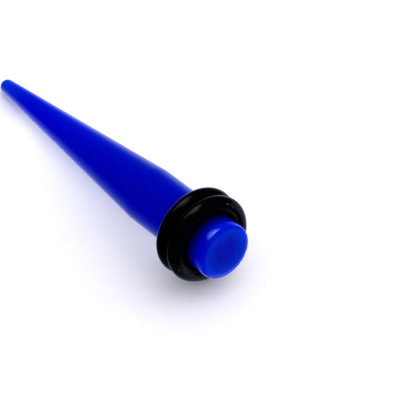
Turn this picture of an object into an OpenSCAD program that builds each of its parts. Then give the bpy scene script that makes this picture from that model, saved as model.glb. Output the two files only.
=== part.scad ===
// Ear stretching taper: a solid acrylic spike with two rubber rings that hold it in the lobe.
// The taper lies on a flat surface as it comes to rest by itself, on one ring and on its tip.
// +X runs from the head to the tip, +Z is up, and Z = 0 is the surface it lies on.

/* [Spike] */
// Diameter of the wearing length, which is the size that the taper stretches to
body_d = 8; // [6:0.5:10]
// Length from the head face to the end of the tip
spike_len = 51.5; // [44:0.5:70]
// Length from the head face to where the cone starts
straight_len = 16.5; // [14:0.5:24]
// Radius of the rounded tip
tip_r = 1.05; // [0.7:0.05:1.5]
// How far the polished rounding of the edge reaches in across the head face
head_edge_in = 0.9; // [0.6:0.1:1.2]
// How far the same rounding reaches along the side
head_edge_along = 0.4; // [0.3:0.05:0.6]
// Radius of the tight part of the rounding, next to the side
head_edge_r = 0.25; // [0.1:0.05:0.25]
// How much smaller the radius is at the head, where the end was polished
polish_loss = 0.02; // [0.01:0.01:0.05]

/* [Rings] */
// Thickness of the rubber cord of each ring
cord_d = 2.25; // [1.5:0.05:2.4]
// Distance from the head face to the middle of the ring on the head side
head_ring_at = 3.95; // [3:0.05:4.2]
// Free space between the two rings
between_rings = 0.04; // [0.02:0.02:0.5]
// Free space between a ring and the wearing length, on the radius
ring_clear = 0.03; // [0.02:0.01:0.1]

/* [Wearing length] */
// Free length between the ring on the tip side and the true cylinder of the wearing length
past_ring = 0.8; // [0.5:0.1:2]

/* [Hidden] */
$fn = 128;
body_r = body_d / 2;
head_r = body_r - polish_loss;
// Radius of the wide part of the rounding, which runs smoothly into the flat and into the tight part
wide_r = (pow(head_edge_in, 2) - 2 * head_edge_in * head_edge_r + pow(head_edge_along, 2))
    / (2 * (head_edge_along - head_edge_r));
flat_r = head_r - head_edge_in;
// Where the wide part ends and the tight part begins: radius, and distance from the head face
wide_part = wide_r / (wide_r - head_edge_r);
edge_meet = [flat_r + (head_edge_in - head_edge_r) * wide_part, wide_r + (head_edge_along - wide_r) * wide_part];
cord_r = cord_d / 2;
// Middle of the cord, measured from the axis of the spike
ring_mid_r = body_r + ring_clear + cord_r;
tip_ring_at = head_ring_at + cord_d + between_rings;
wear_from = tip_ring_at + cord_r + past_ring;
// Middle of the ball that rounds the tip, along the axis
tip_at = spike_len - tip_r;
cone_len = tip_at - straight_len;
// Half angle of the cone whose side runs smoothly into the ball
cone_half = acos(tip_r / norm([body_r, cone_len])) - atan2(cone_len, body_r);
// Slope of the spike when the ring on the tip side and the tip both touch the surface
rest_reach = tip_at - tip_ring_at;
rest_slope = atan2(ring_mid_r, rest_reach) + asin((cord_r - tip_r) / norm([ring_mid_r, rest_reach]));
// Height of the axis at the head face, and the middle of the part's length along X
head_height = tip_r + tip_at * sin(rest_slope);
back_x = wide_r * (cos(rest_slope) - 1) - flat_r * sin(rest_slope);
front_x = tip_at * cos(rest_slope) + tip_r;
middle_x = (back_x + front_x) / 2;
// Half a turn about its own axis, which brings the seams of the round faces to the top
seam_turn = 180;

// Lays what is drawn along +Z, with the head face at Z = 0, down in its resting place
module laid_down() {
    translate([-middle_x, 0, head_height])
        rotate([0, 90 + rest_slope, 0])
            rotate([0, 0, seam_turn])
                children();
}

// Half outline of the spike: radius along X, distance from the head face along Y
module spike_outline() {
    polygon([
        [0, 0],
        [flat_r, 0],
        edge_meet,
        [head_r, head_edge_along],
        [body_r, wear_from],
        [body_r, straight_len],
        [tip_r * cos(cone_half), tip_at + tip_r * sin(cone_half)],
        [0, tip_at + tip_r * sin(cone_half)]
    ]);
    intersection() {
        translate([flat_r, wide_r])
            circle(r = wide_r);
        polygon([[flat_r, 0], [edge_meet[0], 0], edge_meet]);
    }
    translate([head_r - head_edge_r, head_edge_along])
        circle(r = head_edge_r);
    intersection() {
        translate([0, tip_at])
            circle(r = tip_r);
        translate([0, tip_at - tip_r])
            square([tip_r, 2 * tip_r]);
    }
}

// A ring of round cord around the axis, with its middle plane this far from the head face
module o_ring(at) {
    translate([0, 0, at])
        rotate_extrude()
            translate([ring_mid_r, 0])
                circle(r = cord_r, $fn = 48);
}

module taper() {
    color([0.0, 0.06, 0.78])
        laid_down()
            rotate_extrude()
                spike_outline();
}

module o_ring_head_side() {
    color([0.05, 0.05, 0.06])
        laid_down()
            o_ring(head_ring_at);
}

module o_ring_tip_side() {
    color([0.05, 0.05, 0.06])
        laid_down()
            o_ring(tip_ring_at);
}

taper();
o_ring_head_side();
o_ring_tip_side();
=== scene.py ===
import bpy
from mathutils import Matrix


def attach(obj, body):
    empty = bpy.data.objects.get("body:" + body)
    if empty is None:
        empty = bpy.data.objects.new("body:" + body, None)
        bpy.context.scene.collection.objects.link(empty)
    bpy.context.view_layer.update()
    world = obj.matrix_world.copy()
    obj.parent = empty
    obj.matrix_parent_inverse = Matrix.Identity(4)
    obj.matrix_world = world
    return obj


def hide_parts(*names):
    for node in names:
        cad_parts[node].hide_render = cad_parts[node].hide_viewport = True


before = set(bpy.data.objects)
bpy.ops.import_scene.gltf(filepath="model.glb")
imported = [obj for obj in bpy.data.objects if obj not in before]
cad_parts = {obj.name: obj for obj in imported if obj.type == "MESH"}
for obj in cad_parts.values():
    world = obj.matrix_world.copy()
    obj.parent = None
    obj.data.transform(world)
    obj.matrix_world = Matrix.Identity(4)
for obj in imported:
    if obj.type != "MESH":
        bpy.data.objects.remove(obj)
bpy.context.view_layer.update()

import math

import bpy
from bpy.props import FloatProperty, FloatVectorProperty, IntProperty, PointerProperty
from mathutils import Euler, Matrix, Vector

bl_info = {
    "name": "Ear Stretching Taper",
    "version": (1, 0, 0),
    "blender": (4, 5, 0),
    "location": "3D View > Sidebar > Taper",
    "description": "Builds a blue acrylic ear taper with its two rubber rings, lying on a white table",
    "category": "Add Mesh",
}

MM = 0.001
# The taper lies on its tip-side ring and its tip, so its axis runs down towards the tip by this angle
REST_SLOPE = math.radians(6.74735)
HEAD_CENTRE = (-0.02538835, 0.0, 0.00697744)


def srgb(hex_code):
    """The linear colour of an sRGB hex code such as 0D1AC8."""
    parts = [int(hex_code[i:i + 2], 16) / 255 for i in (0, 2, 4)]
    return tuple(p / 12.92 if p <= 0.04045 else ((p + 0.055) / 1.055) ** 2.4 for p in parts)


def add(tree, kind, inputs=(), **settings):
    """Adds one node with its settings. Each input is a value, or the output that it is linked to."""
    node = tree.nodes.new(kind)
    for name, value in settings.items():
        setattr(node, name, value)
    for key, value in dict(inputs).items():
        if isinstance(value, bpy.types.NodeSocket):
            tree.links.new(value, node.inputs[key])
        else:
            node.inputs[key].default_value = value
    return node


# Sizes and colours


class SpikeSettings(bpy.types.PropertyGroup):
    body_diameter: FloatProperty(
        name="Body diameter", description="Diameter of the wearing length", default=8 * MM, unit="LENGTH")
    length: FloatProperty(
        name="Length", description="From the head face to the end of the tip", default=51.5 * MM, unit="LENGTH")
    straight_length: FloatProperty(
        name="Straight length", description="From the head face to where the cone starts", default=16.5 * MM,
        unit="LENGTH")
    wearing_from: FloatProperty(
        name="Wearing length from", description="Where the full diameter starts, past the rings",
        default=8.165 * MM, unit="LENGTH")
    tip_radius: FloatProperty(
        name="Tip radius", description="Radius of the rounded tip", default=1.05 * MM, unit="LENGTH")
    edge_in: FloatProperty(
        name="Edge rounding, face", description="How far the polished rounding reaches in across the head face",
        default=0.9 * MM, unit="LENGTH")
    edge_along: FloatProperty(
        name="Edge rounding, side", description="How far the same rounding reaches along the side",
        default=0.4 * MM, unit="LENGTH")
    edge_radius: FloatProperty(
        name="Edge radius", description="Radius of the tight part of the rounding, next to the side",
        default=0.25 * MM, unit="LENGTH")
    polish_loss: FloatProperty(
        name="Polish loss", description="How much smaller the radius is at the head", default=0.02 * MM,
        unit="LENGTH")
    cone_start_blend: FloatProperty(
        name="Cone start blend", description="Radius of the soft bend where the cone starts", default=12 * MM,
        unit="LENGTH")
    sides: IntProperty(name="Sides", description="Faces around the spike", default=160)


class RingSettings(bpy.types.PropertyGroup):
    cord_diameter: FloatProperty(
        name="Cord diameter", description="Thickness of the rubber cord", default=2.25 * MM, unit="LENGTH")
    middle_radius: FloatProperty(
        name="Middle radius", description="From the axis to the middle of the cord", default=5.155 * MM,
        unit="LENGTH")
    head_ring_at: FloatProperty(
        name="Head ring at", description="From the head face to the ring on the head side", default=3.95 * MM,
        unit="LENGTH")
    tip_ring_at: FloatProperty(
        name="Tip ring at", description="From the head face to the ring on the tip side", default=6.24 * MM,
        unit="LENGTH")
    around: IntProperty(name="Around", description="Faces around the ring", default=192)
    cord_sides: IntProperty(name="Cord sides", description="Faces around the cord", default=48)


class StageSettings(bpy.types.PropertyGroup):
    floor_width: FloatProperty(
        name="Floor width", description="Side of the white table top", default=4.0, unit="LENGTH")
    light_distance: FloatProperty(
        name="Light distance", description="From the taper to the lights", default=0.55, unit="LENGTH")
    softbox_side: FloatProperty(
        name="Softbox side", description="Side of the square softbox that casts the shadows", default=0.80,
        unit="LENGTH")
    softbox_power: FloatProperty(
        name="Softbox power", description="Power of the softbox", default=2.2, unit="POWER")
    band_brightness: FloatProperty(
        name="Band brightness", description="How bright the lit band of cloth is, where 1 is white in the picture",
        default=7.5)
    room_light: FloatProperty(
        name="Room light", description="Strength of the even light of the room", default=1.18)
    room_colour: FloatVectorProperty(
        name="Room colour", description="Colour of the even light of the room", default=srgb("EBEBF7"),
        subtype="COLOR")
    sheen_brightness: FloatProperty(
        name="Table sheen", description="How bright the gloss sees the table beside the taper", default=1.13)
    strip_length: FloatProperty(
        name="Strip length", description="Length of the strip of light between the spike and the table",
        default=34 * MM, unit="LENGTH")
    strip_colour: FloatVectorProperty(
        name="Strip colour", description="Colour of both strips of light", default=srgb("F0F0D6"), subtype="COLOR")
    passed_power: FloatProperty(
        name="Passed power", description="Power of the light that the acrylic passes on to the table",
        default=0.00098, unit="POWER")
    gathered_power: FloatProperty(
        name="Gathered power", description="Power of the light that the acrylic gathers from the table",
        default=0.009, unit="POWER")
    camera_azimuth: FloatProperty(
        name="Camera azimuth", description="Direction of the camera around the taper",
        default=math.radians(-127.425), subtype="ANGLE")
    camera_elevation: FloatProperty(
        name="Camera elevation", description="Height of the camera above the table, as an angle",
        default=math.radians(43.167), subtype="ANGLE")
    camera_distance: FloatProperty(
        name="Camera distance", description="From the point it looks at to the camera", default=0.4,
        unit="LENGTH")
    camera_target: FloatVectorProperty(
        name="Camera target", description="The point that the camera looks at",
        default=(-14.881 * MM, -5.223 * MM, 4.156 * MM), subtype="TRANSLATION")
    camera_lens: FloatProperty(name="Lens", description="Focal length in mm on a 36 mm sensor", default=259.615)


# Materials


def start_material(name):
    """A material with an empty node tree, and that tree."""
    material = bpy.data.materials.new(name)
    material.use_nodes = True
    material.node_tree.nodes.clear()
    return material, material.node_tree


def axis_coordinates(tree):
    """Object coordinates turned into the spike's own, in mm: Z runs from the head face towards the tip."""
    place = add(tree, "ShaderNodeTexCoord")
    return add(
        tree, "ShaderNodeMapping",
        {"Vector": place.outputs["Object"], "Location": HEAD_CENTRE,
         "Rotation": (0, math.pi / 2 + REST_SLOPE, 0), "Scale": (MM, MM, MM)},
        vector_type="TEXTURE").outputs["Vector"]


def cast_acrylic():
    """Cast acrylic rod, dyed blue through, turned on a lathe and flame polished.

    The dye sits in the whole body, so light enters, scatters and comes out bluer and brighter where the
    spike is thin; the colour has more of that glow painted in, and painted light and shade at the head and
    beside the rings. The polished skin gives soft, clear reflections, blue from the dye right under it and
    white at the outline. The sawn and buffed head face keeps faint strokes. All lengths are in mm.
    """
    rings_at = 5.1
    material, tree = start_material("blue cast acrylic")
    own = axis_coordinates(tree)
    parts = add(tree, "ShaderNodeSeparateXYZ", {"Vector": own})
    across = add(tree, "ShaderNodeCombineXYZ", {"X": parts.outputs["X"], "Y": parts.outputs["Y"]})
    radius = add(tree, "ShaderNodeVectorMath", {0: across.outputs["Vector"]}, operation="LENGTH").outputs["Value"]
    along = parts.outputs["Z"]

    # Painted glow: the colour is painted lighter where less dye lies behind the surface, as the cone thins,
    # and greener at the very tip, for the light that comes through the thin acrylic
    thin = add(
        tree, "ShaderNodeMapRange", {"Value": along, "From Min": 14.0, "From Max": 46.0},
        interpolation_type="SMOOTHSTEP")
    cone_colour_painted_glow = add(
        tree, "ShaderNodeMix",
        {"Factor": thin.outputs["Result"], "A": (*srgb("00009E"), 1), "B": (*srgb("0000B6"), 1)},
        data_type="RGBA")
    to_tip = add(tree, "ShaderNodeMapRange", {"Value": along, "From Min": 37.0, "From Max": 51.5})
    painted_tip_glow = add(tree, "ShaderNodeMath", {0: to_tip.outputs["Result"], 1: 5.0}, operation="POWER")
    dye_with_painted_glow = add(
        tree, "ShaderNodeMix",
        {"Factor": painted_tip_glow.outputs[0], "A": cone_colour_painted_glow.outputs["Result"], "B": (*srgb("003CB8"), 1)},
        data_type="RGBA")
    # Light that came in through the head face makes the side next to it a little greener, but not where
    # that side faces neither the table nor the softbox
    near_head = add(tree, "ShaderNodeMapRange", {"Value": along, "From Min": 1.7, "From Max": 0.6})
    outward = add(tree, "ShaderNodeVectorMath", {0: across.outputs["Vector"]}, operation="NORMALIZE")
    unlit = add(
        tree, "ShaderNodeVectorMath", {0: outward.outputs["Vector"], 1: (-0.47, 0.88, 0.0)},
        operation="DOT_PRODUCT")
    lit = add(
        tree, "ShaderNodeMapRange", {"Value": unlit.outputs["Value"], "From Min": 0.99, "From Max": 0.80},
        interpolation_type="SMOOTHSTEP")
    lit_near_head = add(
        tree, "ShaderNodeMath", {0: near_head.outputs["Result"], 1: lit.outputs["Result"]}, operation="MULTIPLY")
    side_colour = add(
        tree, "ShaderNodeMix",
        {"Factor": lit_near_head.outputs[0], "A": dye_with_painted_glow.outputs["Result"], "B": (*srgb("000EA8"), 1)},
        data_type="RGBA")
    # Painted light: light that crosses the head comes out of the rounded edge on the half away from the light,
    # so the colour of the face, with its painted light, reaches further there. On the half towards the light it
    # fades out over half a millimetre
    away = add(tree, "ShaderNodeMath", {0: parts.outputs["X"], 1: parts.outputs["Y"]}, operation="SUBTRACT")
    reach = add(
        tree, "ShaderNodeMapRange",
        {"Value": away.outputs[0], "From Min": -2.9, "From Max": -1.0, "To Min": 0.04, "To Max": 0.12})
    on_flat = add(
        tree, "ShaderNodeMapRange", {"Value": along, "From Min": reach.outputs["Result"], "From Max": 0.0},
        interpolation_type="SMOOTHSTEP")
    kept = add(
        tree, "ShaderNodeMapRange",
        {"Value": away.outputs[0], "From Min": -2.9, "From Max": -1.0, "To Min": 0.0, "To Max": 1.3})
    inside = add(tree, "ShaderNodeMath", {0: radius, 1: kept.outputs["Result"]}, operation="SUBTRACT")
    soft = add(
        tree, "ShaderNodeMapRange", {"Value": inside.outputs[0], "From Min": 3.5, "From Max": 2.8},
        interpolation_type="SMOOTHSTEP")
    on_face = add(
        tree, "ShaderNodeMath", {0: on_flat.outputs["Result"], 1: soft.outputs["Result"]}, operation="MULTIPLY")
    # The head face is lightest near its rim, where light comes in through the side
    outwards = add(tree, "ShaderNodeMapRange", {"Value": radius, "From Min": 1.0, "From Max": 3.6})
    to_rim = add(tree, "ShaderNodeMath", {0: outwards.outputs["Result"], 1: 1.5}, operation="POWER")
    # Buffing has left faint strokes across the face, nearly upright as it lies, half a millimetre apart
    stretched = add(tree, "ShaderNodeVectorMath", {0: own, 1: (0.35, 2.2, 1.0)}, operation="MULTIPLY")
    stroke = add(tree, "ShaderNodeTexNoise", {"Vector": stretched.outputs["Vector"], "Scale": 1.0, "Detail": 2.0})
    streaky = add(
        tree, "ShaderNodeMapRange",
        {"Value": stroke.outputs["Fac"], "From Min": 0.3, "From Max": 0.7, "To Min": -0.15, "To Max": 0.2})
    lightness = add(tree, "ShaderNodeMath", {0: to_rim.outputs[0], 1: streaky.outputs["Result"]}, use_clamp=True)
    face_colour = add(
        tree, "ShaderNodeMix",
        {"Factor": lightness.outputs[0], "A": (*srgb("050A95"), 1), "B": (*srgb("002AB2"), 1)},
        data_type="RGBA")
    colour = add(
        tree, "ShaderNodeMix",
        {"Factor": on_face.outputs[0], "A": side_colour.outputs["Result"], "B": face_colour.outputs["Result"]},
        data_type="RGBA")

    # The rings keep the light off the acrylic next to them. The head, lit through its face as well, is
    # lighter than the cone
    from_rings = add(tree, "ShaderNodeMath", {0: along, 1: rings_at}, operation="SUBTRACT")
    beside_rings = add(tree, "ShaderNodeMath", {0: from_rings.outputs[0]}, operation="ABSOLUTE")
    shade = add(
        tree, "ShaderNodeMapRange",
        {"Value": beside_rings.outputs[0], "From Min": 2.2, "From Max": 4.1, "To Min": 0.05, "To Max": 1.08})
    near_face = add(
        tree, "ShaderNodeMapRange",
        {"Value": along, "From Min": 2.5, "From Max": 0.5, "To Min": 1.0, "To Max": 1.15})
    both = add(
        tree, "ShaderNodeMath", {0: shade.outputs["Result"], 1: near_face.outputs["Result"]}, operation="MULTIPLY")
    shaded = add(
        tree, "ShaderNodeVectorMath", {0: colour.outputs["Result"], "Scale": both.outputs[0]}, operation="SCALE")

    # Polishing has rolled the side off by about a tenth of a millimetre over the last millimetre and a half
    short_of = add(tree, "ShaderNodeMath", {0: 1.6, 1: along}, operation="SUBTRACT")
    rolled = add(tree, "ShaderNodeMath", {0: short_of.outputs[0], 1: 0.0}, operation="MAXIMUM")
    cubed = add(tree, "ShaderNodeMath", {0: rolled.outputs[0], 1: 3.0}, operation="POWER")
    roll_off = add(tree, "ShaderNodeMath", {0: cubed.outputs[0], 1: -0.045}, operation="MULTIPLY")
    # The buffed edge looks tighter than it is: the side seems to run on straight into the first part of it.
    # The slope that undoes its turn is the tangent of an arc, so the height is the logarithm of a cosine
    into_edge = add(
        tree, "ShaderNodeMapRange", {"Value": along, "From Min": 0.40, "From Max": 0.22, "To Max": 0.72})
    sine = add(tree, "ShaderNodeMath", {0: into_edge.outputs["Result"], 1: 2.0}, operation="POWER")
    cosine = add(tree, "ShaderNodeMath", {0: 1.0, 1: sine.outputs[0]}, operation="SUBTRACT")
    fall = add(tree, "ShaderNodeMath", {0: cosine.outputs[0], 1: math.e}, operation="LOGARITHM")
    height = add(
        tree, "ShaderNodeMath", {0: fall.outputs[0], 1: -0.125, 2: roll_off.outputs[0]}, operation="MULTIPLY_ADD")
    relief = add(tree, "ShaderNodeBump", {"Height": height.outputs[0], "Strength": 1.0, "Distance": MM})
    # The lathe leaves fine marks around the spike, drawn coarser than they are so that they show
    turned = add(tree, "ShaderNodeVectorMath", {0: own, 1: (0.3, 0.3, 4.0)}, operation="MULTIPLY")
    mark = add(tree, "ShaderNodeTexNoise", {"Vector": turned.outputs["Vector"], "Scale": 1.0, "Detail": 3.0})
    gloss = add(tree, "ShaderNodeMapRange", {"Value": mark.outputs["Fac"], "To Min": 0.05, "To Max": 0.11})
    shader = add(
        tree, "ShaderNodeBsdfPrincipled",
        {"Base Color": shaded.outputs["Vector"], "Roughness": gloss.outputs["Result"], "IOR": 1.49,
         "Specular Tint": (0.55, 1.0, 1.0, 1), "Normal": relief.outputs["Normal"],
         "Subsurface Weight": 1.0, "Subsurface Radius": (0.3, 0.6, 1.5), "Subsurface Scale": MM})
    add(tree, "ShaderNodeOutputMaterial", {"Surface": shader.outputs["BSDF"]})
    return material


def nitrile_rubber():
    """Black nitrile rubber, moulded as O-ring cord.

    Carbon black takes all light, so only the surface shows: a satin sheen that draws the lit band out into
    a violet grey streak, and a thin light line at the outline.
    """
    material, tree = start_material("black nitrile rubber")
    own = axis_coordinates(tree)
    # The mould's grain is drawn a sixth of a millimetre wide, coarser than it is, so that it shows
    grain = add(tree, "ShaderNodeTexNoise", {"Vector": own, "Scale": 6.0, "Detail": 3.0})
    colour = add(
        tree, "ShaderNodeMix",
        {"Factor": grain.outputs["Fac"], "A": (*srgb("000001"), 1), "B": (*srgb("020202"), 1)},
        data_type="RGBA")
    dull = add(tree, "ShaderNodeMapRange", {"Value": grain.outputs["Fac"], "To Min": 0.10, "To Max": 0.15})
    # A few specks of dust sit on it, a tenth of a millimetre wide and about two millimetres apart
    specks = add(tree, "ShaderNodeTexVoronoi", {"Vector": own, "Scale": 1.1})
    small = add(tree, "ShaderNodeMath", {0: specks.outputs["Distance"], 1: 0.07}, operation="LESS_THAN")
    drawn = add(tree, "ShaderNodeSeparateColor", {"Color": specks.outputs["Color"]})
    few = add(tree, "ShaderNodeMath", {0: drawn.outputs["Red"], 1: 0.6}, operation="GREATER_THAN")
    dusty = add(tree, "ShaderNodeMath", {0: small.outputs[0], 1: few.outputs[0]}, operation="MULTIPLY")
    skin = add(
        tree, "ShaderNodeMix",
        {"Factor": dusty.outputs[0], "A": colour.outputs["Result"], "B": (*srgb("70707C"), 1)},
        data_type="RGBA")
    pits = add(tree, "ShaderNodeBump", {"Height": grain.outputs["Fac"], "Strength": 0.3, "Distance": 0.01 * MM})
    shader = add(
        tree, "ShaderNodeBsdfPrincipled",
        {"Base Color": skin.outputs["Result"], "Roughness": dull.outputs["Result"], "IOR": 1.52,
         "Specular IOR Level": 0.085, "Specular Tint": (1.0, 0.86, 0.96, 1), "Normal": pits.outputs["Normal"]})
    add(tree, "ShaderNodeOutputMaterial", {"Surface": shader.outputs["BSDF"]})
    return material


def white_paper():
    """Matt white paper of the table top, which the light burns out to white.

    Its fibres are drawn about a millimetre long, coarser than they are, so that they show in the shadow.
    """
    material, tree = start_material("matt white paper")
    place = add(tree, "ShaderNodeTexCoord")
    fibre = add(tree, "ShaderNodeTexNoise", {"Vector": place.outputs["Object"], "Scale": 900.0, "Detail": 2.0})
    colour = add(
        tree, "ShaderNodeMix",
        {"Factor": fibre.outputs["Fac"], "A": (*srgb("EBEBEB"), 1), "B": (*srgb("F1F1F1"), 1)},
        data_type="RGBA")
    shader = add(
        tree, "ShaderNodeBsdfPrincipled",
        {"Base Color": colour.outputs["Result"], "Roughness": 0.9, "Specular IOR Level": 0.1})
    add(tree, "ShaderNodeOutputMaterial", {"Surface": shader.outputs["BSDF"]})
    return material


def lit_cloth(brightness):
    """Diffusing cloth lit from behind, as bright as the "light" attribute of its mesh says.

    Only a first mirroring shows it, because matt rubber keeps no picture of it for the acrylic to mirror again.
    """
    material, tree = start_material("lit diffusing cloth")
    light = add(tree, "ShaderNodeAttribute", attribute_name="light").outputs["Fac"]
    bounces = add(tree, "ShaderNodeLightPath").outputs["Ray Depth"]
    first = add(tree, "ShaderNodeMath", {0: bounces, 1: 1.5}, operation="LESS_THAN").outputs[0]
    seen = add(tree, "ShaderNodeMath", {0: light, 1: first}, operation="MULTIPLY").outputs[0]
    strength = add(tree, "ShaderNodeMath", {0: seen, 1: brightness}, operation="MULTIPLY").outputs[0]
    glow = add(tree, "ShaderNodeEmission", {"Color": (1, 1, 1, 1), "Strength": strength})
    add(tree, "ShaderNodeOutputMaterial", {"Surface": glow.outputs[0]})
    return material


def sheen_of_table(brightness):
    """The table top as the gloss sees it: bright close to the taper and beyond it, darker towards the head.

    It makes the outline of the acrylic pale and leaves its middle a clear blue.
    """
    material, tree = start_material("sheen of the table")
    place = add(tree, "ShaderNodeTexCoord").outputs["Object"]
    in_mm = add(tree, "ShaderNodeVectorMath", {0: place, "Scale": 1 / MM}, operation="SCALE").outputs["Vector"]
    parts = add(tree, "ShaderNodeSeparateXYZ", {"Vector": in_mm})
    x, y = parts.outputs["X"], parts.outputs["Y"]

    # On the camera's side it fades within a few millimetres of the taper
    near = add(tree, "ShaderNodeMath", {0: y, 1: 2.0}, operation="SUBTRACT").outputs[0]
    near = add(tree, "ShaderNodeMath", {0: near, 1: 0.0}, operation="MAXIMUM").outputs[0]
    near = add(tree, "ShaderNodeMath", {0: near, 1: -0.28}, operation="MULTIPLY").outputs[0]
    near_light = add(tree, "ShaderNodeMath", {0: near}, operation="EXPONENT").outputs[0]

    # Beyond the taper it falls off slowly, to half
    far = add(tree, "ShaderNodeMath", {0: y, 1: -1.0}, operation="MULTIPLY").outputs[0]
    far = add(tree, "ShaderNodeMath", {0: far, 1: 0.0}, operation="MAXIMUM").outputs[0]
    falling = add(tree, "ShaderNodeMath", {0: far, 1: -28.0}, operation="DIVIDE").outputs[0]
    falling = add(tree, "ShaderNodeMath", {0: falling}, operation="EXPONENT").outputs[0]
    far_light = add(tree, "ShaderNodeMath", {0: falling, 1: 0.46, 2: 0.46}, operation="MULTIPLY_ADD").outputs[0]

    # It is a little dimmer behind the thin end of the cone. The place along the cone is counted in the
    # direction in which the gloss looks, so that one place on the cone always mirrors the same value
    beside = add(
        tree, "ShaderNodeVectorMath", {0: in_mm, 1: (0.604, 0.797, 0.0)}, operation="DOT_PRODUCT").outputs["Value"]
    beside_tip = add(
        tree, "ShaderNodeMapRange", {"Value": beside, "From Min": 4.0, "From Max": 11.0}).outputs["Result"]
    behind = add(tree, "ShaderNodeMapRange", {"Value": far, "From Max": 4.0, "To Max": 0.28}).outputs["Result"]
    lost = add(tree, "ShaderNodeMath", {0: beside_tip, 1: behind}, operation="MULTIPLY").outputs[0]
    left = add(tree, "ShaderNodeMath", {0: 1.0, 1: lost}, operation="SUBTRACT").outputs[0]
    far_light = add(tree, "ShaderNodeMath", {0: far_light, 1: left}, operation="MULTIPLY").outputs[0]

    # It ends past the head, on a slant where it lies far beyond the taper
    slant = add(tree, "ShaderNodeMath", {0: -9.0, 1: y}, operation="SUBTRACT").outputs[0]
    slant = add(tree, "ShaderNodeMath", {0: slant, 1: 0.0}, operation="MAXIMUM").outputs[0]
    slanted = add(tree, "ShaderNodeMath", {0: slant, 1: 0.8, 2: x}, operation="MULTIPLY_ADD").outputs[0]
    past_head = add(
        tree, "ShaderNodeMapRange", {"Value": slanted, "From Min": -31.9, "From Max": -28.3, "To Min": 0.06},
        interpolation_type="SMOOTHSTEP").outputs["Result"]

    light = add(tree, "ShaderNodeMath", {0: near_light, 1: far_light}, operation="MULTIPLY").outputs[0]
    light = add(tree, "ShaderNodeMath", {0: light, 1: past_head}, operation="MULTIPLY").outputs[0]
    paleness = add(tree, "ShaderNodeMath", {0: light, 1: 1.5}, operation="MULTIPLY").outputs[0]
    tint = add(
        tree, "ShaderNodeMix", {"Factor": paleness, "A": (0.45, 0.95, 1.4, 1), "B": (0.95, 0.97, 1.3, 1)},
        data_type="RGBA").outputs["Result"]
    strength = add(tree, "ShaderNodeMath", {0: light, 1: brightness}, operation="MULTIPLY").outputs[0]
    glow = add(tree, "ShaderNodeEmission", {"Color": tint, "Strength": strength})
    add(tree, "ShaderNodeOutputMaterial", {"Surface": glow.outputs[0]})
    return material


def white_room(world, brightness, colour, away):
    """The room around the table: even light for the matt surfaces, and what the gloss mirrors.

    The gloss mirrors a pale horizon beyond the taper, in the direction `away`, which turns bluer upwards
    and fades into the dark of the room.
    """
    world.use_nodes = True
    tree = world.node_tree
    tree.nodes.clear()
    direction = add(tree, "ShaderNodeTexCoord").outputs["Generated"]
    height = add(tree, "ShaderNodeSeparateXYZ", {"Vector": direction}).outputs["Z"]
    steep = add(tree, "ShaderNodeMath", {0: height, 1: -5.8}, operation="MULTIPLY").outputs[0]
    fading = add(tree, "ShaderNodeMath", {0: steep}, operation="EXPONENT").outputs[0]
    ahead = add(tree, "ShaderNodeVectorMath", {0: direction, 1: away}, operation="DOT_PRODUCT").outputs["Value"]
    leaning = add(tree, "ShaderNodeMath", {0: ahead, 1: height}, operation="ADD").outputs[0]
    beyond = add(
        tree, "ShaderNodeMapRange", {"Value": leaning, "From Min": 0.5, "From Max": 0.75, "To Max": 0.5},
        interpolation_type="SMOOTHSTEP")
    horizon = add(
        tree, "ShaderNodeMath", {0: fading, 1: beyond.outputs["Result"]}, operation="MULTIPLY").outputs[0]
    even = add(tree, "ShaderNodeBackground", {"Color": (*colour, 1), "Strength": brightness})
    lowness = add(
        tree, "ShaderNodeMapRange", {"Value": height, "From Min": 0.4, "From Max": 0.0}).outputs["Result"]
    tint = add(
        tree, "ShaderNodeMix", {"Factor": lowness, "A": (0.06, 0.95, 1.4, 1), "B": (0.5, 0.95, 1.4, 1)},
        data_type="RGBA").outputs["Result"]
    mirrored = add(tree, "ShaderNodeBackground", {"Color": tint, "Strength": horizon})
    path = add(tree, "ShaderNodeLightPath")
    seen = add(
        tree, "ShaderNodeMixShader",
        {"Fac": path.outputs["Is Glossy Ray"], 1: even.outputs[0], 2: mirrored.outputs[0]})
    add(tree, "ShaderNodeOutputWorld", {"Surface": seen.outputs[0]})


# Shapes


REST_TURN = Euler((0, math.pi / 2 + REST_SLOPE, 0))
STEPS_PER_ROUNDING = 20
# Points closer than this are one point
WELD = 0.002 * MM


def start_tree(name, inputs):
    """A geometry node tree with these named inputs, each (name, socket type), and one geometry output."""
    tree = bpy.data.node_groups.new(name, "GeometryNodeTree")
    for socket_name, kind in inputs:
        tree.interface.new_socket(socket_name, in_out="INPUT", socket_type=kind)
    tree.interface.new_socket("Geometry", in_out="OUTPUT", socket_type="NodeSocketGeometry")
    return tree, add(tree, "NodeGroupInput").outputs


def laid_down(tree, geometry, sockets):
    """Lays what is drawn along +Z down in its resting place, gives it its material and ends the tree."""
    smooth = add(tree, "GeometryNodeSetShadeSmooth", {"Geometry": geometry})
    placed = add(
        tree, "GeometryNodeTransform",
        {"Geometry": smooth.outputs[0], "Translation": sockets["Head Centre"], "Rotation": sockets["Rest Turn"]})
    real = add(tree, "GeometryNodeRealizeInstances", {"Geometry": placed.outputs[0]})
    coated = add(tree, "GeometryNodeSetMaterial", {"Geometry": real.outputs[0], "Material": sockets["Material"]})
    add(tree, "NodeGroupOutput", {"Geometry": coated.outputs[0]})


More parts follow.
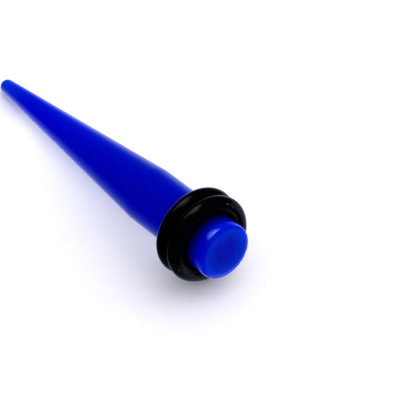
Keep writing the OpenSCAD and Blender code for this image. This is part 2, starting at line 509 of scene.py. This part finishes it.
def grown(name, tree, values):
    """Runs the tree on an empty object and returns its result as a plain mesh object."""
    seed = bpy.data.objects.new(name + "_seed", bpy.data.meshes.new(name + "_seed"))
    bpy.context.scene.collection.objects.link(seed)
    modifier = seed.modifiers.new("shape", "NODES")
    modifier.node_group = tree
    sockets = {
        item.name: item.identifier for item in tree.interface.items_tree
        if item.item_type == "SOCKET" and item.in_out == "INPUT"}
    for socket_name, value in values.items():
        modifier[sockets[socket_name]] = value
    bpy.context.view_layer.update()
    evaluated = seed.evaluated_get(bpy.context.evaluated_depsgraph_get())
    mesh = bpy.data.meshes.new_from_object(evaluated)
    bpy.data.objects.remove(seed, do_unlink=True)
    if not mesh.polygons:
        raise RuntimeError(name + " came out empty")
    mesh.name = name
    piece = bpy.data.objects.new(name, mesh)
    bpy.context.scene.collection.objects.link(piece)
    return piece


def spike_tree():
    """The spike as its half outline, with rounded corners, swept once around its axis."""
    tree, given = start_tree("spike turned from its outline", [
        ("Body Radius", "NodeSocketFloat"), ("Head Radius", "NodeSocketFloat"), ("Flat Radius", "NodeSocketFloat"),
        ("Face Corner", "NodeSocketFloat"), ("Side Corner", "NodeSocketFloat"), ("Edge Along", "NodeSocketFloat"),
        ("Wide Radius", "NodeSocketFloat"), ("Tight Radius", "NodeSocketFloat"),
        ("Wearing From", "NodeSocketFloat"), ("Straight Length", "NodeSocketFloat"), ("Length", "NodeSocketFloat"),
        ("Tip Radius", "NodeSocketFloat"), ("Tip Corner", "NodeSocketFloat"),
        ("Cone Start Blend", "NodeSocketFloat"), ("Sides", "NodeSocketInt"), ("Head Centre", "NodeSocketVector"),
        ("Rest Turn", "NodeSocketRotation"), ("Material", "NodeSocketMaterial")])

    # Two plain points, on the flat and on the side, keep the rounding of the head's edge between them
    on_flat = add(tree, "ShaderNodeMath", {0: given["Flat Radius"], 1: 0.9}, operation="MULTIPLY").outputs[0]
    on_side = add(tree, "ShaderNodeMath", {0: given["Edge Along"], 1: 1.1}, operation="MULTIPLY").outputs[0]
    # Corners of the half outline: radius, distance from the head face, and radius of the rounding
    corners = [
        (0.0, 0.0, 0.0),
        (on_flat, 0.0, 0.0),
        (given["Face Corner"], 0.0, given["Wide Radius"]),
        (given["Head Radius"], given["Side Corner"], given["Tight Radius"]),
        (given["Head Radius"], on_side, 0.0),
        (given["Body Radius"], given["Wearing From"], 0.0),
        (given["Body Radius"], given["Straight Length"], given["Cone Start Blend"]),
        (given["Tip Corner"], given["Length"], given["Tip Radius"]),
        (0.0, given["Length"], 0.0),
    ]
    number = add(tree, "GeometryNodeInputIndex").outputs[0]
    place = add(tree, "GeometryNodeIndexSwitch", {"Index": number}, data_type="VECTOR")
    rounding = add(tree, "GeometryNodeIndexSwitch", {"Index": number}, data_type="FLOAT")
    for switch in (place, rounding):
        while len(switch.index_switch_items) < len(corners):
            switch.index_switch_items.new()
    for i, (radius, distance, corner_radius) in enumerate(corners):
        point = add(tree, "ShaderNodeCombineXYZ", {"X": radius, "Y": distance})
        tree.links.new(point.outputs[0], place.inputs[i + 1])
        if isinstance(corner_radius, float):
            rounding.inputs[i + 1].default_value = corner_radius
        else:
            tree.links.new(corner_radius, rounding.inputs[i + 1])
    points = add(tree, "GeometryNodePoints", {"Count": len(corners), "Position": place.outputs[0]})
    outline = add(tree, "GeometryNodePointsToCurves", {"Points": points.outputs[0]})
    rounded = add(
        tree, "GeometryNodeFilletCurve",
        {"Curve": outline.outputs[0], "Count": STEPS_PER_ROUNDING, "Radius": rounding.outputs[0],
         "Limit Radius": False}, mode="POLY")
    # The outline is swept around a circle of the body's radius, from which its own points are measured
    circle = add(
        tree, "GeometryNodeCurvePrimitiveCircle", {"Resolution": given["Sides"], "Radius": given["Body Radius"]})
    inwards = add(tree, "ShaderNodeMath", {0: given["Body Radius"], 1: -1.0}, operation="MULTIPLY")
    shift = add(tree, "ShaderNodeCombineXYZ", {"X": inwards.outputs[0]})
    shifted = add(
        tree, "GeometryNodeTransform",
        {"Geometry": rounded.outputs[0], "Translation": shift.outputs[0], "Scale": (1, -1, 1)})
    swept = add(
        tree, "GeometryNodeCurveToMesh", {"Curve": circle.outputs[0], "Profile Curve": shifted.outputs[0]})
    closed = add(tree, "GeometryNodeMergeByDistance", {"Geometry": swept.outputs[0], "Distance": WELD})
    outward = add(tree, "GeometryNodeFlipFaces", {"Mesh": closed.outputs[0]})
    laid_down(tree, outward.outputs[0], given)
    return tree


def ring_tree():
    """A ring of round cord around the axis."""
    tree, given = start_tree("ring of round cord", [
        ("Cord Radius", "NodeSocketFloat"), ("Middle Radius", "NodeSocketFloat"), ("Distance", "NodeSocketFloat"),
        ("Around", "NodeSocketInt"), ("Cord Sides", "NodeSocketInt"), ("Head Centre", "NodeSocketVector"),
        ("Rest Turn", "NodeSocketRotation"), ("Material", "NodeSocketMaterial")])
    circle = add(
        tree, "GeometryNodeCurvePrimitiveCircle",
        {"Resolution": given["Around"], "Radius": given["Middle Radius"]})
    cord = add(
        tree, "GeometryNodeCurvePrimitiveCircle",
        {"Resolution": given["Cord Sides"], "Radius": given["Cord Radius"]})
    swept = add(tree, "GeometryNodeCurveToMesh", {"Curve": circle.outputs[0], "Profile Curve": cord.outputs[0]})
    height = add(tree, "ShaderNodeCombineXYZ", {"Z": given["Distance"]})
    lifted = add(
        tree, "GeometryNodeTransform", {"Geometry": swept.outputs[0], "Translation": height.outputs[0]})
    laid_down(tree, lifted.outputs[0], given)
    return tree


class TAPER_OT_spike(bpy.types.Operator):
    """Builds the acrylic spike"""

    bl_idname = "taper.spike"
    bl_label = "Acrylic spike"

    def execute(self, context):
        sizes = context.scene.taper_spike
        body_radius = sizes.body_diameter / 2
        tip_at = sizes.length - sizes.tip_radius
        cone_length = tip_at - sizes.straight_length
        cone_half = (math.acos(sizes.tip_radius / math.hypot(body_radius, cone_length))
                     - math.atan2(cone_length, body_radius))
        # The edge of the head is a wide arc from the flat, then a tight one into the side, with a shared slope
        head_radius = body_radius - sizes.polish_loss
        flat_radius = head_radius - sizes.edge_in
        wide_radius = ((sizes.edge_in ** 2 - 2 * sizes.edge_in * sizes.edge_radius + sizes.edge_along ** 2)
                       / (2 * (sizes.edge_along - sizes.edge_radius)))
        tight_turn = math.atan2(wide_radius - sizes.edge_along, sizes.edge_in - sizes.edge_radius)
        wide_turn = math.pi / 2 - tight_turn
        piece = grown("acrylic_spike", spike_tree(), {
            "Body Radius": body_radius,
            "Head Radius": head_radius,
            "Flat Radius": flat_radius,
            "Face Corner": flat_radius + wide_radius * math.tan(wide_turn / 2),
            "Side Corner": sizes.edge_along - sizes.edge_radius * math.tan(tight_turn / 2),
            "Edge Along": sizes.edge_along,
            "Wide Radius": wide_radius,
            "Tight Radius": sizes.edge_radius,
            "Wearing From": sizes.wearing_from,
            "Straight Length": sizes.straight_length,
            "Length": sizes.length,
            "Tip Radius": sizes.tip_radius,
            "Tip Corner": sizes.tip_radius * (1 - math.sin(cone_half)) / math.cos(cone_half),
            "Cone Start Blend": sizes.cone_start_blend,
            "Sides": sizes.sides,
            "Head Centre": HEAD_CENTRE,
            "Rest Turn": REST_TURN,
            "Material": cast_acrylic(),
        })
        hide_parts("taper")
        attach(piece, "root")
        return {"FINISHED"}


class TAPER_OT_rings(bpy.types.Operator):
    """Builds the two rubber rings"""

    bl_idname = "taper.rings"
    bl_label = "Rubber rings"

    def execute(self, context):
        sizes = context.scene.taper_rings
        tree = ring_tree()
        rubber = nitrile_rubber()
        for name, node, distance in (
            ("rubber_ring_head_side", "o_ring_head_side", sizes.head_ring_at),
            ("rubber_ring_tip_side", "o_ring_tip_side", sizes.tip_ring_at),
        ):
            piece = grown(name, tree, {
                "Cord Radius": sizes.cord_diameter / 2,
                "Middle Radius": sizes.middle_radius,
                "Distance": distance,
                "Around": sizes.around,
                "Cord Sides": sizes.cord_sides,
                "Head Centre": HEAD_CENTRE,
                "Rest Turn": REST_TURN,
                "Material": rubber,
            })
            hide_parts(node)
            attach(piece, "root")
        return {"FINISHED"}


def camera_axes(stage):
    """Right, up and back of the camera, as unit vectors."""
    turn, rise = stage.camera_azimuth, stage.camera_elevation
    back = Vector((math.sin(turn) * math.cos(rise), -math.cos(turn) * math.cos(rise), math.sin(rise)))
    right = Vector((math.cos(turn), math.sin(turn), 0))
    return right, back.cross(right), back


def square(side, height):
    """The corners of a level square around the origin."""
    half = side / 2
    return [(-half, -half, height), (half, -half, height), (half, half, height), (-half, half, height)]


# The direction of the softbox and the rows of the lit band, as the camera sees them. A row across the band
# holds its lower left edge, its middle and its upper right edge, each as (right, up, light).
SOFTBOX_DIRECTION = (0.50, 0.82, 0.27)
BAND_ROWS = (
    ((-0.67, 0.44, 0.0), (-0.69, 0.60, 0.0), (-0.68, 0.715, 0.0)),
    ((-0.57, 0.46, 0.0), (-0.57, 0.65, 0.32), (-0.59, 0.785, 0.0)),
    ((-0.40, 0.56, 0.0), (-0.42, 0.76, 0.55), (-0.46, 0.87, 0.0)),
    ((-0.24, 0.56, 0.0), (-0.22, 0.86, 0.85), (-0.25, 0.955, 0.0)),
    ((-0.12, 0.48, 0.0), (-0.05, 0.78, 0.80), (0.06, 0.98, 0.0)),
    ((0.08, 0.34, 0.0), (0.15, 0.53, 0.25), (0.30, 0.68, 0.0)),
    ((0.24, 0.12, 0.0), (0.33, 0.28, 0.04), (0.48, 0.38, 0.0)),
    ((0.42, -0.20, 0.0), (0.56, -0.08, 0.0), (0.76, 0.00, 0.0)),
)


class TAPER_OT_stage(bpy.types.Operator):
    """Lays the white table and sets up the lights and the camera"""

    bl_idname = "taper.stage"
    bl_label = "Table, lights and camera"

    def execute(self, context):
        stage = context.scene.taper_stage
        scene = context.scene
        mesh = bpy.data.meshes.new("table_top")
        mesh.from_pydata(square(stage.floor_width, 0), [], [(0, 1, 2, 3)])
        mesh.materials.append(white_paper())
        table = bpy.data.objects.new("table_top", mesh)
        table.visible_glossy = False
        scene.collection.objects.link(table)

        right, up, back = camera_axes(stage)
        target = Vector(stage.camera_target)
        lens = bpy.data.cameras.new("camera")
        lens.lens = stage.camera_lens
        lens.sensor_width = 36
        lens.clip_start = 0.01
        camera = bpy.data.objects.new("camera", lens)
        facing_taper = Matrix((right, up, back)).transposed().to_4x4()
        camera.matrix_world = Matrix.Translation(target + back * stage.camera_distance) @ facing_taper
        scene.collection.objects.link(camera)
        scene.camera = camera

        def facing(direction, distance):
            """Where a light stands in this direction, as the camera sees it, turned to face the taper."""
            towards = (right * direction[0] + up * direction[1] + back * direction[2]).normalized()
            side = (right - towards * right.dot(towards)).normalized()
            return (Matrix.Translation(towards * distance)
                    @ Matrix((side, towards.cross(side), towards)).transposed().to_4x4())

        def strip_light(name, size, power, place, lit):
            """A strip of light along the spike that only reaches one thing and casts no shadow."""
            strip = bpy.data.lights.new(name, "AREA")
            strip.shape = "RECTANGLE"
            strip.size, strip.size_y = size
            strip.energy = power
            strip.color = stage.strip_colour
            strip.use_shadow = False
            lamp = bpy.data.objects.new(name, strip)
            lamp.matrix_world = place
            lamp.visible_glossy = False
            scene.collection.objects.link(lamp)
            only = bpy.data.collections.new(name + "_reaches")
            only.objects.link(lit)
            lamp.light_linking.receiver_collection = only

        # The light that the acrylic passes on to the table
        passed_size = (stage.strip_length, stage.strip_length / 10)
        over_table = Matrix.Translation((1.5 * MM, 0, 3.2 * MM))
        strip_light("passed_to_table", passed_size, stage.passed_power, over_table, table)
        # The light that the acrylic gathers from the table, which shines up from below at a slant
        gathered_size = (66 * MM, 8.25 * MM)
        slant = math.radians(35)
        upwards = Matrix.Translation((0, 12 * MM, -12 * MM)) @ Matrix.Rotation(math.pi + slant, 4, "X")
        spike = bpy.data.objects["acrylic_spike"]
        strip_light("gathered_from_table", gathered_size, stage.gathered_power, upwards, spike)

        # A soft light overhead, behind and to the right, which casts the shadow towards the camera
        light = bpy.data.lights.new("softbox", "AREA")
        light.shape = "SQUARE"
        light.size = stage.softbox_side
        light.energy = stage.softbox_power
        softbox = bpy.data.objects.new("softbox", light)
        softbox.matrix_world = facing(SOFTBOX_DIRECTION, stage.light_distance)
        softbox.visible_glossy = False
        scene.collection.objects.link(softbox)

        def for_gloss(name, corners, faces, material):
            """A light that only the gloss of the acrylic and the rubber mirrors. Returns its mesh."""
            mesh = bpy.data.meshes.new(name)
            mesh.from_pydata(corners, [], faces)
            mesh.materials.append(material)
            plate = bpy.data.objects.new(name, mesh)
            plate.visible_camera = False
            plate.visible_diffuse = False
            plate.visible_shadow = False
            scene.collection.objects.link(plate)
            return mesh

        # A lit band of cloth overhead, hung on a slant and fading out at its edges
        points = [point for row in BAND_ROWS for point in row]
        corners = [
            facing((x, y, math.sqrt(1 - x * x - y * y)), stage.light_distance).translation for x, y, _ in points]
        faces = [
            (3 * row + column, 3 * row + column + 1, 3 * row + column + 4, 3 * row + column + 3)
            for row in range(len(BAND_ROWS) - 1) for column in range(2)]
        band = for_gloss("lit_band", corners, faces, lit_cloth(stage.band_brightness))
        light_values = band.attributes.new("light", "FLOAT", "POINT").data
        light_values.foreach_set("value", [light for _, _, light in points])
        # The table's sheen, just under the table top
        for_gloss("table_sheen", square(stage.floor_width, -0.2 * MM), [(0, 1, 2, 3)],
                  sheen_of_table(stage.sheen_brightness))

        world = bpy.data.worlds.new("white room")
        scene.world = world
        white_room(world, stage.room_light, stage.room_colour, -back)
        scene.view_settings.view_transform = "Standard"
        return {"FINISHED"}


class TAPER_PT_panel(bpy.types.Panel):
    bl_label = "Ear stretching taper"
    bl_idname = "TAPER_PT_panel"
    bl_space_type = "VIEW_3D"
    bl_region_type = "UI"
    bl_category = "Taper"

    def draw(self, context):
        for operator, settings in (
            ("taper.spike", "taper_spike"), ("taper.rings", "taper_rings"), ("taper.stage", "taper_stage"),
        ):
            box = self.layout.box()
            group = getattr(context.scene, settings)
            for name in group.__annotations__:
                box.prop(group, name)
            box.operator(operator)


CLASSES = (
    SpikeSettings, RingSettings, StageSettings, TAPER_OT_spike, TAPER_OT_rings, TAPER_OT_stage, TAPER_PT_panel,
)


def register():
    for cls in CLASSES:
        bpy.utils.register_class(cls)
    bpy.types.Scene.taper_spike = PointerProperty(type=SpikeSettings)
    bpy.types.Scene.taper_rings = PointerProperty(type=RingSettings)
    bpy.types.Scene.taper_stage = PointerProperty(type=StageSettings)


def unregister():
    del bpy.types.Scene.taper_stage
    del bpy.types.Scene.taper_rings
    del bpy.types.Scene.taper_spike
    for cls in reversed(CLASSES):
        bpy.utils.unregister_class(cls)


def main():
    register()
    bpy.ops.taper.spike()
    bpy.ops.taper.rings()
    bpy.ops.taper.stage()


if __name__ == "__main__":
    main()
